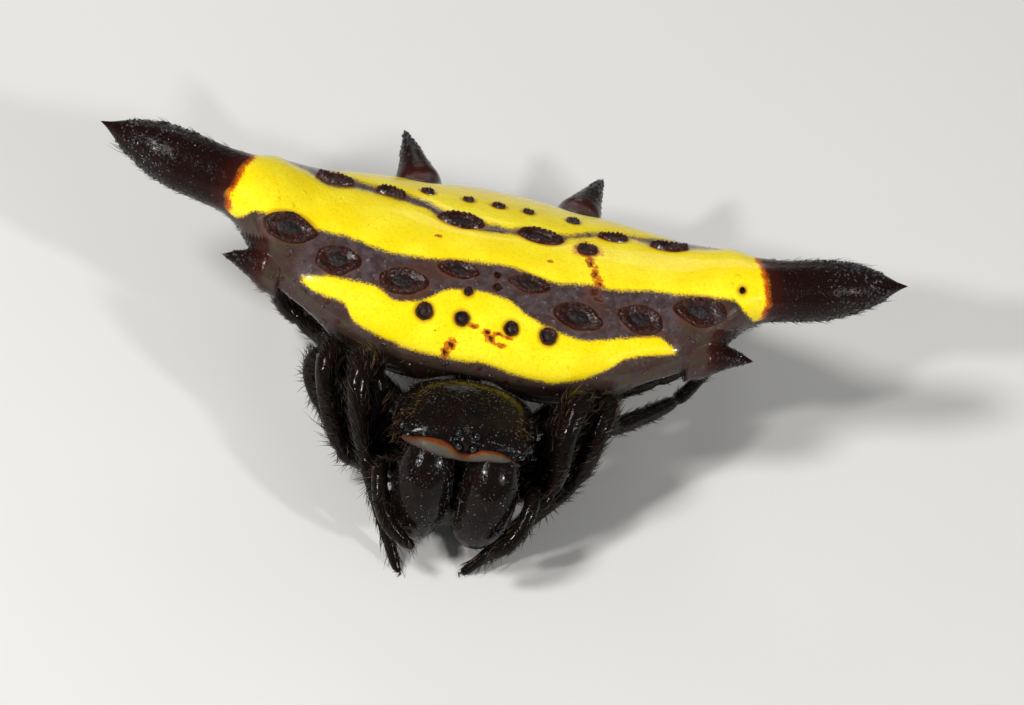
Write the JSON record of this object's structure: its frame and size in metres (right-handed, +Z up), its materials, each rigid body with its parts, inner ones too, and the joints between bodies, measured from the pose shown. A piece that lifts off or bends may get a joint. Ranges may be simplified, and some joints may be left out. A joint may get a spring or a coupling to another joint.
{
  "type": "spiny orb weaver spider",
  "caption": "Still, life-size model of a spiny orb weaver, with a wide banded abdomen that carries spines and pitted discs, standing with its legs drawn in.",
  "frame": {"origin": "bottom centre of the bounding box, on the surface that the spider stands on", "axes": "+X to the spider's own left, +Y to its rear, so that it faces -Y, +Z up"},
  "size_m": [0.0188, 0.012, 0.0055],
  "materials": {
    "abdomen_cuticle": "glossy cuticle, bright yellow bands on purple-grey with dark red-brown pits",
    "spine_cuticle": "glossy dark maroon spines, finely grained at the tips",
    "body_cuticle": "glossy black-brown with small raised grains",
    "leg_cuticle": "glossy black-brown",
    "underside_cuticle": "satin dark brown",
    "eye_lens": "polished black",
    "fang_horn": "glossy dark red-brown",
    "face_membrane": "satin cream skin",
    "bristle": "fine hairs, dark to pale brown"
  },
  "bodies": {
    "root": {"abdomen": "abdomen_cuticle", "carapace": "body_cuticle", "chelicera_left": "body_cuticle", "chelicera_right": "body_cuticle", "eye_anterior_lateral_left": "eye_lens", "eye_anterior_lateral_right": "eye_lens", "eye_anterior_median_left": "eye_lens", "eye_anterior_median_right": "eye_lens", "eye_posterior_lateral_left": "eye_lens", "eye_posterior_lateral_right": "eye_lens", "eye_posterior_median_left": "eye_lens", "eye_posterior_median_right": "eye_lens", "fang_left": "fang_horn", "fang_right": "fang_horn", "leg_1_left_femur": "leg_cuticle", "leg_1_left_foot": "leg_cuticle", "leg_1_left_tibia": "leg_cuticle", "leg_1_right_femur": "leg_cuticle", "leg_1_right_foot": "leg_cuticle", "leg_1_right_tibia": "leg_cuticle", "leg_2_left_femur": "leg_cuticle", "leg_2_left_foot": "leg_cuticle", "leg_2_left_tibia": "leg_cuticle", "leg_2_right_femur": "leg_cuticle", "leg_2_right_foot": "leg_cuticle", "leg_2_right_tibia": "leg_cuticle", "leg_3_left_femur": "leg_cuticle", "leg_3_left_foot": "leg_cuticle", "leg_3_left_tibia": "leg_cuticle", "leg_3_right_femur": "leg_cuticle", "leg_3_right_foot": "leg_cuticle", "leg_3_right_tibia": "leg_cuticle", "leg_4_left_femur": "leg_cuticle", "leg_4_left_foot": "leg_cuticle", "leg_4_left_tibia": "leg_cuticle", "leg_4_right_femur": "leg_cuticle", "leg_4_right_foot": "leg_cuticle", "leg_4_right_tibia": "leg_cuticle", "palp_left": "leg_cuticle", "palp_right": "leg_cuticle", "pedicel": "underside_cuticle", "spinnerets": "underside_cuticle", "sternum": "underside_cuticle"}
  },
  "joints": []
}
